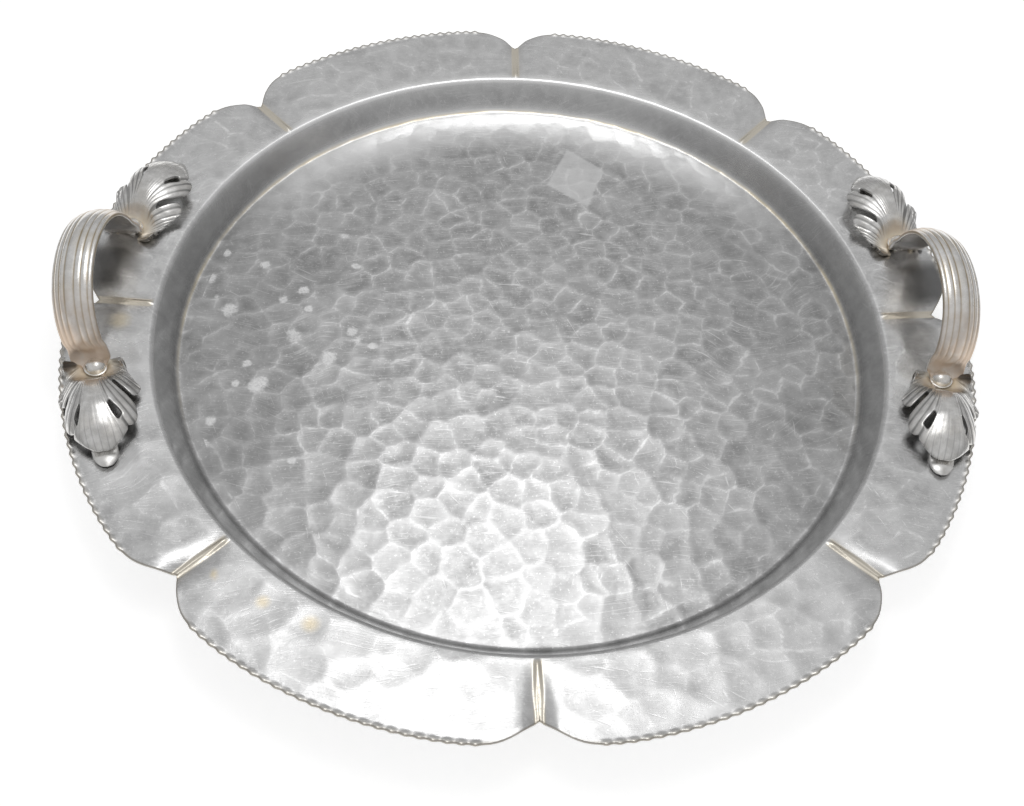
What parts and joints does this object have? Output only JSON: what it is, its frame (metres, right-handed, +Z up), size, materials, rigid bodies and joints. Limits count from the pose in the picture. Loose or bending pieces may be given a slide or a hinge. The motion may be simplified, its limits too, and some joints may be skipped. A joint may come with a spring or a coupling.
{
  "type": "round handled tray",
  "caption": "Round shallow serving tray of hammered sheet metal, with a lobed and crimped flange and riveted fluted strap handles that end in pierced leaves.",
  "frame": {"origin": "middle of the flat underside of the pan", "axes": "+Z up; +X runs through the middle of the right handle; -Y is the front, with one notch of the flange on it"},
  "size_m": [0.3968, 0.3968, 0.0566],
  "materials": {
    "hammered_aluminium": "hammered, worn satin",
    "handle_aluminium": "polished on the high places, tan in the grooves",
    "rivet_aluminium": "polished, slightly stained"
  },
  "bodies": {
    "root": {"tray_pan": "hammered_aluminium", "left_handle": "handle_aluminium", "right_handle": "handle_aluminium", "left_front_rivet": "rivet_aluminium", "left_rear_rivet": "rivet_aluminium", "right_front_rivet": "rivet_aluminium", "right_rear_rivet": "rivet_aluminium"}
  },
  "joints": []
}
